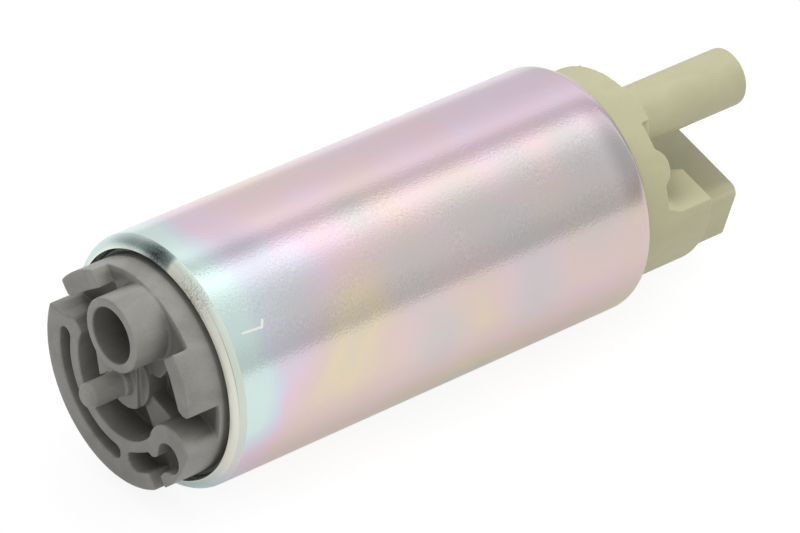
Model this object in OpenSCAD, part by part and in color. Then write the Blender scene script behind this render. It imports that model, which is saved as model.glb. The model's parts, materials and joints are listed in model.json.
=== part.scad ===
// Electric fuel pump for mounting inside a tank: a regenerative pump stage and a
// brushed motor in one rolled-end can. The pump lies on its side. X runs along the
// pump axis from the inlet to the outlet, Z is up, and the origin is on the axis
// halfway along the can's straight wall. Millimetres.

/* [Can] */
// Outer diameter of the steel can
can_d = 38; // [37:0.5:40]
// Sheet thickness of the can
can_wall = 1.4; // [1.2:0.1:1.6]
// Outer radius of the rolled ends
can_roll = 2; // [1.8:0.1:2.2]
// How far the opening of a rolled end stands in from the can's outer wall
lip_step = 1.57; // [1.5:0.01:1.7]

/* [Inlet cover] */
// Diameter of the cover's nose and of the outlet cap's disc
nose_d = 32.7; // [32:0.1:33]
// Angle of the cover's features about the pump axis
cover_turn = -38.2; // [-180:0.1:180]
// How far the cover's floor stands out in front of the can
floor_out = 0.9; // [0.5:0.1:1.5]
// Height of the crescent, the tab, the block and the web above the floor
wall_h = 5.3; // [4:0.1:6.5]
// Height of the step above the floor
step_h = 2.6; // [2:0.1:3.5]
// Inner radius of the crescent
crescent_r = 9.1; // [8.8:0.1:9.6]
// Radius of the centre line of the curved slot
slot_r = 12.15; // [12:0.05:12.5]
// Width of the curved slot
slot_w = 2.3; // [1.8:0.1:2.6]
// Depth of the curved slot and the lower pocket
pocket_depth = 4; // [2:0.1:4.8]
// Outer diameter of the inlet tube
tube_d = 11.14; // [10.6:0.02:11.3]
// Bore of the inlet tube
tube_bore = 8.34; // [7:0.02:8.8]
// Distance of the inlet tube from the pump axis
tube_offset = 10.6; // [10.2:0.1:10.7]
// Angle of the inlet tube among the cover's features
tube_angle = 145.6; // [143:0.1:148]
// Height of the inlet tube above the step
tube_h = 5.9; // [4:0.1:8]
// Diameter of the locating pin
pin_d = 3.8; // [3.2:0.1:4.2]
// Height of the locating pin above the crescent's face
pin_h = 5.8; // [4:0.1:8]
// Length of the taper on the pin's tip
taper_len = 0.65; // [0.3:0.05:1]
// How much the taper takes off the pin's radius
taper_in = 0.4; // [0.2:0.05:0.6]
// Distance of the locating pin from the pump axis
pin_offset = 0.4; // [0:0.1:0.6]
// Angle of the locating pin among the cover's features
pin_angle = -90; // [-110:1:-70]
// Radius of the hub under the pin
hub_r = 4.7; // [4.5:0.1:5]
// Height of the hub above the floor
hub_h = 4.1; // [3.4:0.1:4.5]
// Drop from the hub's face to the ledge on its cut-back side
hub_ledge = 0.7; // [0.4:0.1:1]
// Thickness of the cover behind the can's lip
cover_flange = 4.1; // [3.6:0.1:5]

/* [Pump stage] */
// Diameter of the impeller
impeller_d = 30; // [29.4:0.2:30.4]
// Thickness of the impeller
impeller_t = 3.8; // [3:0.1:5]
// Number of vanes
vane_count = 36; // [24:1:40]
// Thickness of one vane
vane_t = 0.7; // [0.5:0.1:0.9]
// Width of the impeller's rim outside the vanes
rim_w = 0.55; // [0.4:0.05:0.7]
// Width of the flow channel and of the vane row
channel_w = 2.6; // [2:0.1:2.6]
// Angle that the flow channel sweeps from the inlet to the outlet port
channel_sweep = 312; // [300:1:320]
// Thickness of the casing behind the impeller
casing_web = 4.5; // [4:0.1:6]
// Thickness of the casing between the impeller and the lower bearing
washer_t = 1; // [0.8:0.1:1.5]
// Gap between the casing's hub and the end turns
rotor_gap = 2.5; // [1.5:0.1:4]
// Running gap on each side of the impeller
side_gap = 0.04; // [0.02:0.01:0.08]

/* [Motor] */
// Diameter of the shaft
shaft_d = 5; // [4.6:0.1:5.4]
// Depth of the driving flat on the shaft
flat_depth = 0.6; // [0.4:0.1:0.8]
// Outer diameter of the sleeve bearings
bearing_d = 9.2; // [8.8:0.1:9.6]
// Length of the sleeve bearings
bearing_len = 6; // [5:0.1:6.4]
// Diameter of the thrust ball
ball_d = 3; // [2.6:0.1:3.4]
// Diameter of the lamination stack
core_d = 23; // [22:0.1:23.4]
// Length of the lamination stack
core_len = 25; // [20:0.5:30]
// Number of armature slots and of commutator segments
slot_count = 8; // [6:2:12]
// Height of the end turns at each end of the stack
end_turn_h = 5; // [4:0.1:6]
// Thickness of the stack's end insulators
insulator_t = 1; // [0.6:0.1:1.5]
// Gap between the end turns and the commutator
coil_gap = 0.6; // [0.4:0.1:1.5]
// Length of the magnets
magnet_len = 30; // [26:0.5:31]
// Angle that one magnet spans
magnet_span = 124; // [112:1:130]
// Gap between the magnets and the stack
air_gap = 0.6; // [0.4:0.05:0.8]
// Thickness of the magnet clips
clip_t = 0.5; // [0.4:0.05:0.6]
// Diameter of the commutator
commutator_d = 22.4; // [21.8:0.1:23]
// Thickness of the commutator hub's flange
commutator_hub_t = 3.2; // [2.5:0.1:4]
// Thickness of the commutator segments
segment_t = 1.6; // [1.2:0.1:2]

/* [Brushes] */
// Thickness of a brush along the radius
brush_t = 4; // [3.4:0.1:4.4]
// Width of a brush along the turn
brush_w = 6; // [5:0.1:6.6]
// Length of a brush along the pump axis
brush_len = 8; // [6:0.1:8.5]
// Distance of the brushes from the pump axis
brush_offset = 8.6; // [8.5:0.1:8.7]
// Angle of the first brush about the pump axis
brush_angle = 23; // [18:1:26]
// How far a brush can slide back in its guide
brush_travel = 3; // [2:0.1:3]
// Coil radius of the brush springs
spring_r = 1.8; // [1.6:0.05:1.9]
// Wire thickness of the brush springs
spring_wire = 0.45; // [0.35:0.05:0.5]
// Gap between the commutator's face and the brush guides
guide_gap = 1.2; // [0.8:0.1:1.5]
// Height of the brush holder
holder_h = 8; // [7.8:0.1:9]
// Thickness of the brush holder's plate
holder_plate = 4.5; // [3:0.1:5]

/* [Outlet cap] */
// Thickness of the cap inside the can's rolled end
cap_flange = 5.4; // [5.2:0.1:6.5]
// Height of the cap's low face beyond the can
low_face = 5; // [4:0.1:5.4]
// Height of the cap's high face above its low face
face_step = 1.6; // [1:0.1:2]
// Angle of the high face's side about the pump axis
step_angle = 51.8; // [40:0.1:60]
// Distance of the high face's edge from the pump axis
step_offset = 4.1; // [4:0.1:5]
// Outer diameter of the outlet nipple
nipple_d = 9; // [8.6:0.1:9.2]
// Bore of the outlet nipple
nipple_bore = 6.2; // [6:0.1:6.6]
// Length of the outlet nipple above the high face
nipple_len = 20.2; // [18:0.1:26]
// Height and depth of the fillet at the nipple's root
nipple_root = 0.4; // [0.2:0.1:0.6]
// Distance of the nipple from the pump axis
nipple_offset = 11.8; // [11.6:0.05:11.85]
// Angle of the nipple about the pump axis
nipple_angle = 113; // [110:1:116]
// Angle of the connector about the pump axis
connector_angle = -71.5; // [-75:0.5:-68]
// Distance of the connector's inner wall from the pump axis
connector_near = 2.3; // [1.8:0.1:2.5]
// Depth of the connector's shroud, away from the nipple
shroud_t = 9.7; // [9:0.1:10]
// Width of the connector's shroud
shroud_w = 21.9; // [20:0.1:22.2]
// Wall thickness of the shroud
shroud_wall = 1.15; // [0.9:0.05:1.3]
// Height of the shroud above the blocks beside it
shroud_h = 11.7; // [9:0.1:14]
// Depth of the shroud's cavity
cavity_depth = 10.2; // [7:0.1:12]
// Height of the blocks beside the shroud above the low face
block_h = 8.4; // [7:0.1:9.5]
// How far the blocks' fronts reach past the pump axis, towards the nipple
block_front = 5.35; // [4.6:0.05:5.5]
// Distance of the blocks' sides from the connector's middle
block_near = 6.45; // [6.4:0.05:7]
// Size of the chamfer between a block's front and its side
block_chamfer = 2.2; // [2.2:0.1:3]
// Radius of the half-round lug on the cap's rim
lug_r = 3.35; // [3:0.05:3.6]
// Angle of the lug about the pump axis
lug_angle = 152.1; // [150:0.1:155]
// Width of the terminal blades
blade_w = 4.8; // [2.8:0.1:6.3]
// Thickness of the terminal blades
blade_t = 0.8; // [0.6:0.1:1]
// Thickness of the terminals' feet
foot_t = 0.8; // [0.6:0.1:1]
// Distance of each blade from the connector's middle
blade_offset = 4.5; // [4:0.1:5]
// Thickness of the O-ring
seal_t = 1.6; // [1.4:0.1:1.8]

/* [Valves] */
// Bore of the passage below the check valve
passage_d = 4; // [3.4:0.1:4.4]
// Height of the check valve's seat above the cap's high face
seat_up = 2; // [1.5:0.1:3]
// Thickness of the check valve's head
poppet_head = 1.2; // [1:0.1:1.6]
// Gap for the fuel around the check valve's head
poppet_room = 0.5; // [0.4:0.05:0.6]
// Radius of the check valve's stem
stem_r = 0.9; // [0.7:0.05:1]
// Length of the check valve's spring
check_spring_len = 4.8; // [4.2:0.1:5.5]
// Thickness of the check valve's cage
cage_t = 2.5; // [2:0.1:3]
// Lift of the check valve
check_lift = 1.6; // [1:0.1:1.8]
// Distance of the relief valve from the pump axis
relief_offset = 10; // [9.9:0.1:10.4]
// Angle of the relief valve about the pump axis
relief_angle = 61.5; // [61:0.5:65]
// Bore of the relief valve's chamber
relief_bore = 3.5; // [3.3:0.1:3.7]
// Height of the relief valve's seat above the cap's inner face
relief_seat_h = 3.4; // [3:0.1:4]
// Radius of the relief port
relief_port_r = 1.1; // [0.9:0.05:1.2]
// Thickness of the relief valve's plug
plug_t = 1.8; // [1.2:0.1:2.2]
// Lift of the relief ball
relief_lift = 0.8; // [0.5:0.1:1]

/* [Clearances] */
// Gap between seated pieces
seat_gap = 0.05; // [0.02:0.01:0.1]
// Gap around the shaft in its bearings
run_gap = 0.03; // [0.02:0.01:0.05]
// Gap around the shaft where it passes through the mouldings
end_room = 0.5; // [0.4:0.05:0.8]
// Gap around a brush in its guide
slide_gap = 0.1; // [0.05:0.01:0.15]

/* [Hidden] */
$fn = 96;
tiny = 0.01;
// Long enough to cut through anything here
through = 60;

// Radial sizes
can_r = can_d / 2;
bore_r = can_r - can_wall;
lip_r = can_r - lip_step;
nose_r = nose_d / 2;
seated_r = bore_r - seat_gap;
shaft_r = shaft_d / 2;
shaft_bore_r = shaft_r + run_gap;
bearing_r = bearing_d / 2;
core_r = core_d / 2;
magnet_in = core_r + air_gap;
channel_r = impeller_d / 2 - rim_w - channel_w / 2;
yoke_r = core_r * 0.48;
tooth_w = core_r * 0.24;
nipple_r = nipple_d / 2;
chamber_r = nipple_bore / 2;
passage_r = passage_d / 2;
relief_r = relief_bore / 2;
tube_r = tube_d / 2;

// Angle through which each end of the can is rolled in
roll_turn = acos((lip_r - (can_r - can_roll)) / can_roll);
lip_back = can_roll - (can_roll - can_wall) * sin(roll_turn);

// Stack of pieces along the pump axis, from the can's front lip
flange_z = lip_back + seat_gap;
// Both mouldings have their corner cut back to clear the roll
roll_room = can_roll - lip_back + seat_gap;
face_z = flange_z + cover_flange;
recess_z = face_z + impeller_t + 2 * side_gap;
casing_z = recess_z + casing_web;
hub_z = recess_z + washer_t + bearing_len;
core_z = hub_z + rotor_gap + end_turn_h + insulator_t;
core_top = core_z + core_len;
comm_z = core_top + insulator_t + end_turn_h + coil_gap;
comm_face = comm_z + commutator_hub_t + segment_t;
holder_z = comm_face + guide_gap;
cap_z = holder_z + holder_h;
cap_top = cap_z + cap_flange;
can_len = cap_top + flange_z;
low_z = can_len + low_face;
high_z = low_z + face_step;
block_z = low_z + block_h;
shroud_z = block_z + shroud_h;
tip_z = high_z + nipple_len;

// Heights on the inlet cover, which grows towards the viewer, against the axis
floor_z = -floor_out;
step_z = floor_z - step_h;
wall_z = floor_z - wall_h;
tube_z = step_z - tube_h;

// Brushes and what holds them
brush_z = comm_face + seat_gap;
brush_top = brush_z + brush_len;
pocket_z = brush_top + brush_travel + seat_gap;
foot_z = cap_top + 2 * seat_gap;

// Check valve
seat_z = high_z + seat_up;
poppet_r = chamber_r - poppet_room;
cage_z = seat_z + poppet_head + check_spring_len;

// Relief valve
relief_seat = cap_z + relief_seat_h;
relief_ball_r = relief_r - 0.15;
ball_drop = sqrt(pow(relief_ball_r, 2) - pow(relief_port_r, 2));
ball_z = relief_seat + ball_drop + tiny;

// Unit direction at an angle about the pump axis
function way(a) = [cos(a), sin(a)];

// A point at a distance and an angle about the pump axis
function polar(r, a) = [r * cos(a), r * sin(a), 0];

// Lays the pump down: its axis from +Z to +X, with the origin at the can's middle
module lie() {
    translate([-can_len / 2, 0, 0]) rotate([90, 0, 90]) children();
}

// A round bar or bore from one height to another
module rod(r, from, to) {
    translate([0, 0, from]) cylinder(r = r, h = to - from);
}

// A tube wall from one height to another
module sleeve(r_out, r_in, from, to) {
    difference() {
        rod(r_out, from, to);
        rod(r_in, from - 1, to + 1);
    }
}

// A flat outline raised between two heights
module slab(from, to) {
    translate([0, 0, from]) linear_extrude(to - from) children();
}

// The part of a flat ring between two angles less than half a turn apart
module ring_sector(r_in, r_out, from, to) {
    reach = 3 * r_out;
    intersection() {
        difference() {
            circle(r = r_out);
            circle(r = r_in);
        }
        polygon([[0, 0], for (a = [from, (from + to) / 2, to]) reach * way(a)]);
    }
}

// A coil spring along Z: wire radius, coil radius, turns, height between wire centres
module coil_spring(wire_r, coil_r, turns, height) {
    sides = 6;
    rings = 8 * turns;
    ring_points = [for (i = [0:rings]) let (a = 360 * turns * i / rings)
        for (k = [0:sides - 1]) let (
            b = 360 * k / sides,
            r = coil_r + wire_r * cos(b))
        [r * cos(a), r * sin(a), height * i / rings + wire_r * sin(b)]];
    side_faces = [for (i = [0:rings - 1]) for (k = [0:sides - 1]) let (
            p = i * sides + k,
            q = i * sides + (k + 1) % sides)
        each [[p, q + sides, q], [p, p + sides, q + sides]]];
    start_face = [for (k = [1:sides - 2]) [0, k, k + 1]];
    last = rings * sides;
    end_face = [for (k = [1:sides - 2]) [last, last + k + 1, last + k]];
    polyhedron(ring_points, concat(side_faces, start_face, end_face));
}

// Steel tube with both ends rolled in over the mouldings
module can() {
    color([0.80, 0.77, 0.80]) lie() {
        sleeve(can_r, bore_r, can_roll, can_len - can_roll);
        rolled_end();
        translate([0, 0, can_len]) mirror([0, 0, 1]) rolled_end();
    }
}

module rolled_end() {
    rotate_extrude() translate([can_r - can_roll, can_roll])
        ring_sector(can_roll - can_wall, can_roll, -roll_turn, 0);
}

// Outline of the crescent wall: a ring with a cut-back end and a lobe at the other
module crescent() {
    lobe = [-4.9, -12.7];
    lobe_r = 4.85;
    end_line = [[12, 17], [6.9, 11.8], [4.7, 10.6], [4.25, 10.1], [4.1, 9.5], [4.1, 7]];
    translate(lobe) circle(r = lobe_r);
    difference() {
        translate([lobe[0], -through / 2]) square(through);
        circle(r = crescent_r);
        polygon(concat(end_line, [[-through, 7], [-through, through], [12, through]]));
    }
}

// Curved blind slot in the crescent, with round ends
module crescent_slot() {
    half_turn = 47;
    side_steps = 32;
    end_steps = 10;
    polygon([
        for (i = [0:side_steps]) (slot_r + slot_w / 2) * way(half_turn * (2 * i / side_steps - 1)),
        for (i = [1:end_steps - 1])
            slot_r * way(half_turn) + slot_w / 2 * way(half_turn + 180 * i / end_steps),
        for (i = [0:side_steps]) (slot_r - slot_w / 2) * way(half_turn * (1 - 2 * i / side_steps)),
        for (i = [1:end_steps - 1])
            slot_r * way(-half_turn) + slot_w / 2 * way(180 - half_turn + 180 * i / end_steps)]);
}

// Pocket in the lower end of the crescent, open to the rim through a slit
module crescent_pocket() {
    translate([-4.2, -12.8]) circle(r = 2.3);
    polygon([[-4.5, -10.6], [-2.5, -11.2], [-1.9, -11.7], [-1.3, -11.9], [-0.6, -11.8],
        [-0.2, -11.5], [0, -10.95], [3, -10.4], [5, -9.9], [5.7, -10.1], [6.1, -10.9],
        [5.9, -12], [5.1, -12.9], [2.5, -13.6], [2.5, -18], [-0.2, -18], [-0.2, -14.6],
        [-1.4, -14.3], [-3.3, -14.6], [-4.5, -14.9]]);
}

// Tab on the rim beside the crescent's cut-back end
module rim_tab() {
    polygon([[2.6, 13.35], [3.2, 13.7], [3.3, 14.3], [3.3, 15.6], [3, 18],
        [-5.3, 18], [-5.3, 12.75], [-2, 13.1]]);
}

// Block on the rim across from the crescent
module rim_block() {
    polygon([[-13.5, 0.15], [-18, 0.15], [-18, -8.65], [-13, -8.65], [-12.3, -8.2],
        [-11.8, -7.2], [-12.5, -5], [-13.2, -2.5]]);
}

// Raised step that carries the inlet tube and joins the tab to the block
module rim_step() {
    polygon([[-5.3, 18], [-18, 18], [-18, -1.5], [-8.8, -1.5], [-6.4, -2.1],
        [-5.4, -1.7], [-3.4, 0.3], [-3.4, 8], [-5.3, 12]]);
}

// Web that braces the inlet tube towards the pin
module tube_web() {
    polygon([[4, 1.65], [2.2, 5.2], [0.5, 8.8], [-4.5, 11.2], [-8.7, 6], [-5, 1.65]]);
}

// Rib between the hub and the crescent's lobe
module hub_rib() {
    polygon([[0.2, -3.5], [-2.3, -3.5], [-5.2, -8.2], [1, -9.5]]);
}

// Round hub under the pin, with one side cut back down to a ledge
module hub() {
    side_cut = 2.85;
    side_angle = -142.6;
    top = floor_z - hub_h;
    difference() {
        rod(hub_r, top, floor_z + 1);
        rotate(side_angle) translate([side_cut, -through / 2, top - 1])
            cube([through, through, hub_ledge + 1]);
    }
}

// Pin beside the pump axis, with a collar as high as the crescent
module locating_pin() {
    top = wall_z - pin_h;
    collar = 0.25;
    translate(polar(pin_offset, pin_angle)) {
        rod(pin_d / 2 + collar, wall_z, floor_z + 1);
        rod(pin_d / 2, top + taper_len, floor_z);
        translate([0, 0, top])
            cylinder(r1 = pin_d / 2 - taper_in, r2 = pin_d / 2, h = taper_len);
    }
}

// Flow channel cut half-round into a face at height z
module flow_channel(z) {
    translate([0, 0, z]) rotate([0, 0, cover_turn + tube_angle])
        rotate_extrude(angle = channel_sweep)
            translate([channel_r, 0]) circle(d = channel_w);
}

// Port in the flow channel, a little narrower than the channel
module port_outline(middle, half_turn) {
    half_w = channel_w / 2 - 0.15;
    ring_sector(channel_r - half_w, channel_r + half_w, middle - half_turn, middle + half_turn);
}

// The cover as a plain turned shape: the nose and the flange behind the can's lip
module cover_blank() {
    rotate_extrude() polygon([
        [0, wall_z], [nose_r, wall_z], [nose_r, flange_z], [seated_r - roll_room, flange_z],
        [seated_r, flange_z + roll_room], [seated_r, face_z], [0, face_z]]);
}

// What is cut away in front of the cover's floor, between its walls
module above_floor() {
    difference() {
        slab(wall_z - 1, floor_z) square(through, center = true);
        slab(wall_z - 2, floor_z + 1) {
            crescent();
            rim_tab();
            rim_block();
            tube_web();
        }
        slab(step_z, floor_z + 1) {
            rim_step();
            hub_rib();
        }
        hub();
    }
}

module inlet_cover() {
    tube_at = polar(tube_offset, tube_angle);
    port_half = 18;
    port_z = face_z - 2.2;
    color([0.50, 0.49, 0.46]) lie() difference() {
        union() {
            difference() {
                cover_blank();
                rotate([0, 0, cover_turn]) above_floor();
            }
            rotate([0, 0, cover_turn]) {
                translate(tube_at) rod(tube_r, tube_z, floor_z + 1);
                locating_pin();
            }
        }
        rotate([0, 0, cover_turn]) {
            slab(wall_z - 1, wall_z + pocket_depth) {
                crescent_slot();
                crescent_pocket();
            }
            translate(tube_at) rod(tube_bore / 2, tube_z - 1, port_z);
            slab(port_z - tiny, face_z + 1) port_outline(tube_angle, port_half);
        }
        flow_channel(face_z);
        rod(ball_d / 2 + seat_gap, thrust_z, face_z + 1);
        rod(shaft_r + end_room, thrust_z + ball_d * 0.6, face_z + 1);
    }
}

// The thrust ball sits in the bottom of a blind hole in the cover
thrust_z = flange_z - 1.2;
shaft_z = thrust_z + ball_d + seat_gap;
shaft_top = cap_z - 0.7;

module thrust_ball() {
    color([0.75, 0.76, 0.78]) lie()
        translate([0, 0, thrust_z + ball_d / 2]) sphere(d = ball_d);
}

module impeller() {
    vane_in = channel_r - channel_w / 2;
    vane_out = channel_r + channel_w / 2;
    pitch = 360 / vane_count;
    // Half the angle that a window spans at each radius, so that a vane keeps its thickness
    half_in = pitch / 2 - asin(vane_t / 2 / vane_in);
    half_out = pitch / 2 - asin(vane_t / 2 / vane_out);
    bottom = face_z + side_gap;
    color([0.16, 0.15, 0.14]) lie() difference() {
        slab(bottom, bottom + impeller_t) difference() {
            circle(d = impeller_d);
            for (i = [0:vane_count - 1]) rotate(i * pitch)
                polygon([
                    vane_in * way(-half_in), vane_out * way(-half_out),
                    vane_out * way(half_out), vane_in * way(half_in)]);
            shaft_outline(seat_gap);
        }
        for (z = [bottom - tiny, bottom + impeller_t - impeller_dish])
            sleeve(vane_in - 1, shaft_r + 2, z, z + impeller_dish + tiny);
    }
}

// Shallow dish in both faces of the impeller, inside the vane row
impeller_dish = 0.3;

// The shaft's outline with its driving flat, grown by a gap
module shaft_outline(gap) {
    intersection() {
        circle(r = shaft_r + gap);
        translate([-through / 2, -through / 2])
            square([through, through / 2 + shaft_r - flat_depth + gap]);
    }
}

module shaft() {
    flat_top = recess_z + washer_t / 2;
    color([0.72, 0.73, 0.75]) lie() {
        slab(shaft_z, flat_top) shaft_outline(0);
        rod(shaft_r, flat_top, shaft_top);
    }
}

module sleeve_bearing(bottom) {
    color([0.60, 0.50, 0.36]) lie()
        sleeve(bearing_r, shaft_bore_r, bottom, bottom + bearing_len);
}

module pump_casing() {
    hub_wall = 2.2;
    seat_r = bearing_r + tiny;
    port_half = 7;
    port_middle = cover_turn + tube_angle + channel_sweep - port_half;
    color([0.30, 0.29, 0.27]) lie() difference() {
        union() {
            rod(seated_r, face_z, casing_z);
            rod(bearing_r + hub_wall, casing_z - 1, hub_z);
        }
        rod(impeller_d / 2 + 0.2, face_z - 1, recess_z);
        flow_channel(recess_z);
        slab(recess_z - tiny, casing_z + 1) port_outline(port_middle, port_half);
        rod(shaft_r + end_room, recess_z - 1, hub_z + 1);
        rod(seat_r, recess_z + washer_t, hub_z + 1);
    }
}

// Outline of one lamination: a hub and teeth with wide tips
module lamination() {
    tip_t = 1.3;
    slot_mouth = 2;
    difference() {
        union() {
            circle(r = yoke_r);
            for (i = [0:slot_count - 1]) rotate(i * 360 / slot_count)
                translate([0, -tooth_w / 2]) square([core_r - tip_t / 2, tooth_w]);
            difference() {
                circle(r = core_r);
                circle(r = core_r - tip_t);
                for (i = [0:slot_count - 1]) rotate((i + 0.5) * 360 / slot_count)
                    translate([0, -slot_mouth / 2]) square([core_r + 1, slot_mouth]);
            }
        }
        circle(r = shaft_r);
    }
}

module armature_core() {
    color([0.42, 0.43, 0.45]) lie() slab(core_z, core_top) lamination();
}

// A plate of the lamination's outline, drawn in a little so that it stays inside
module end_insulator(bottom) {
    color([0.75, 0.30, 0.16]) lie() slab(bottom, bottom + insulator_t) difference() {
        scale((core_r - 0.2) / core_r) lamination();
        circle(r = shaft_r + tiny);
    }
}

module windings() {
    gap = 0.12;
    coil_r = core_r - 1.6;
    coil_in = yoke_r + gap;
    color([0.72, 0.38, 0.16]) lie() difference() {
        rod(coil_r, core_z - insulator_t - end_turn_h, core_top + insulator_t + end_turn_h);
        slab(core_z - insulator_t, core_top + insulator_t) {
            circle(r = coil_in);
            for (i = [0:slot_count - 1]) rotate(i * 360 / slot_count)
                translate([0, -tooth_w / 2 - gap]) square([core_r, tooth_w + 2 * gap]);
        }
        rod(shaft_r + 0.8, core_z - through / 2, core_top + through / 2);
        // Rounded shoulders of the end turns
        for (end = [0, 1]) translate([0, 0, end * (core_top + core_z)])
            mirror([0, 0, end]) coil_shoulder(coil_r);
    }
}

// What is cut from the front end turns to round their outer edge
module coil_shoulder(r) {
    round_r = 2.2;
    z = core_z - insulator_t - end_turn_h;
    rotate_extrude() difference() {
        translate([r - round_r, z - 1]) square([round_r + 1, round_r + 1]);
        translate([r - round_r, z + round_r]) circle(r = round_r);
    }
}

module commutator_hub() {
    neck_r = shaft_r + 1.7;
    color([0.22, 0.12, 0.08]) lie() difference() {
        union() {
            rod(commutator_d / 2, comm_z, comm_z + commutator_hub_t);
            rod(neck_r, comm_z, comm_face - 0.3);
        }
        rod(shaft_r, comm_z - 1, comm_face + 1);
    }
}

module commutator_segments() {
    saw_cut = 0.5;
    inner_r = shaft_r + 2.2;
    color([0.80, 0.46, 0.26]) lie() difference() {
        sleeve(commutator_d / 2, inner_r, comm_face - segment_t, comm_face);
        slab(comm_face - segment_t - 1, comm_face + 1)
            for (i = [0:slot_count / 2 - 1]) rotate((i + 0.5) * 360 / slot_count)
                square([through, saw_cut], center = true);
    }
}

magnet_z = core_z + core_len / 2 - magnet_len / 2;

module magnet(middle) {
    color([0.20, 0.20, 0.21]) lie() slab(magnet_z, magnet_z + magnet_len)
        ring_sector(magnet_in, seated_r, middle - magnet_span / 2, middle + magnet_span / 2);
}

// Sheet clip that sits between two magnets and pushes them apart
module magnet_clip(middle) {
    half = 90 - magnet_span / 2 - 0.4;
    leg_half = asin(clip_t / seated_r);
    leg_in = magnet_in + 0.8;
    color([0.66, 0.67, 0.70]) lie() slab(magnet_z + 1, magnet_z + magnet_len - 1) {
        ring_sector(seated_r - clip_t, seated_r, middle - half, middle + half);
        for (side = [-1, 1]) rotate(middle + side * (half - leg_half))
            translate([leg_in, -clip_t / 2]) square([seated_r - leg_in - 0.1, clip_t]);
    }
}

// Places a brush, its spring or its guide at one of the two brush positions
module at_brush(side) {
    rotate([0, 0, brush_angle + 180 * side]) translate([brush_offset, 0, 0]) children();
}

module brush_outline(gap) {
    square([brush_t + 2 * gap, brush_w + 2 * gap], center = true);
}

module brush(side) {
    color([0.24, 0.23, 0.23]) lie() at_brush(side) slab(brush_z, brush_top) brush_outline(0);
}

// The brush spring runs from the brush to the terminal's foot
module brush_spring(side) {
    turns = 6;
    room = foot_z - brush_top - 2 * seat_gap;
    color([0.78, 0.76, 0.70]) lie() at_brush(side)
        translate([0, 0, brush_top + seat_gap + spring_wire / 2])
            coil_spring(spring_wire / 2, spring_r, turns, room - spring_wire);
}

// The pigtail inside the brush spring
module brush_lead(side) {
    lead_r = 0.5;
    color([0.78, 0.42, 0.22]) lie() at_brush(side) rod(lead_r, brush_top, foot_z);
}

module brush_holder() {
    guide_wall = 0.8;
    hub_wall = 1.3;
    plate_z = cap_z - holder_plate;
    lip_t = 0.6;
    window_in = 9.4;
    window_out = 14.6;
    color([0.33, 0.32, 0.30]) lie() difference() {
        union() {
            rod(seated_r, plate_z, cap_z);
            rod(bearing_r + hub_wall, holder_z, plate_z + 1);
            for (side = [0, 1]) at_brush(side)
                slab(holder_z, plate_z + 1) brush_outline(slide_gap + guide_wall);
        }
        rod(bearing_r + tiny, holder_z + lip_t, cap_z + 1);
        rod(shaft_r + end_room, holder_z - 1, cap_z + 1);
        for (side = [0, 1]) at_brush(side)
            slab(holder_z - 1, cap_z + 1) brush_outline(slide_gap);
        slab(plate_z - 1, cap_z + 1) {
            ring_sector(window_in, window_out, relief_angle - 6, nipple_angle + 30);
            ring_sector(window_in, window_out, relief_angle + 180, nipple_angle + 210);
        }
    }
}

// The connector's own frame: X away from the nipple, Y across the connector
module at_connector() {
    rotate([0, 0, connector_angle]) children();
}

// Outline of the shroud, or of its cavity, with the corners towards the nipple well rounded
module shroud_outline(inset, near_r, far_r) {
    near = connector_near + inset;
    far = connector_near + shroud_t - inset;
    half = shroud_w / 2 - inset;
    for (box = [[near + near_r, far - far_r, half], [near, far, half - near_r],
            [near + near_r, far, half - far_r]])
        translate([box[0], -box[2]]) square([box[1] - box[0], 2 * box[2]]);
    for (side = [-1, 1]) {
        translate([near + near_r, side * (half - near_r)]) circle(r = near_r);
        translate([far - far_r, side * (half - far_r)]) circle(r = far_r);
    }
}

// Outlines of the blocks that flank the connector, running out past the cap's rim
module side_blocks() {
    for (side = [0, 1]) mirror([0, side]) polygon([
        [-block_front, block_near + block_chamfer], [block_chamfer - block_front, block_near],
        [through, block_near], [through, through], [-block_front, through]]);
}

// Sloping root in front of the block that stands on the low face
module block_root() {
    reach = 1.2;
    rise = 2.6;
    translate([0, -block_near - block_chamfer, 0]) rotate([90, 0, 0]) linear_extrude(through)
        polygon([[-block_front - reach, low_z - 1], [-block_front - reach, low_z],
            [-block_front, low_z + rise], [1 - block_front, low_z + rise],
            [1 - block_front, low_z - 1]]);
}

// One terminal: a blade in the connector and a foot that reaches over a brush
module terminal_shape(side) {
    blade_at = [connector_near + shroud_t / 2, blade_offset * (1 - 2 * side)];
    blade_top = shroud_z - 1.5;
    brush_at = brush_offset * way(brush_turn(side));
    foot_r = spring_r + spring_wire + 0.4;
    strip_w = 1.6;
    at_connector() {
        slab(foot_z, blade_top) translate(blade_at) square([blade_w, blade_t], center = true);
        slab(foot_z, foot_z + foot_t) {
            translate(brush_at) circle(r = foot_r);
            foot_strip(brush_at, blade_at, strip_w);
        }
    }
}

// The angle of a brush in the connector's own frame
function brush_turn(side) = brush_angle + 180 * side - connector_angle;

// A straight strip of a width between two points
module foot_strip(from, to, width) {
    run = to - from;
    translate(from) rotate(atan2(run[1], run[0]))
        translate([0, -width / 2]) square([norm(run), width]);
}

module terminal(side) {
    color([0.78, 0.76, 0.70]) lie() terminal_shape(side);
}

// The cap as turned: its flange with the O-ring's groove, and the disc beyond the can
module cap_blank() {
    seal_floor = seated_r - seal_t;
    seal_half = seal_t / 2 + 0.2;
    seal_z = cap_z + cap_flange / 2;
    rotate_extrude() polygon([
        [0, cap_z], [seated_r, cap_z],
        [seated_r, seal_z - seal_half], [seal_floor, seal_z - seal_half],
        [seal_floor, seal_z + seal_half], [seated_r, seal_z + seal_half],
        [seated_r, cap_top - roll_room], [seated_r - roll_room, cap_top],
        [nose_r, cap_top], [nose_r, block_z], [0, block_z]]);
}

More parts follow.
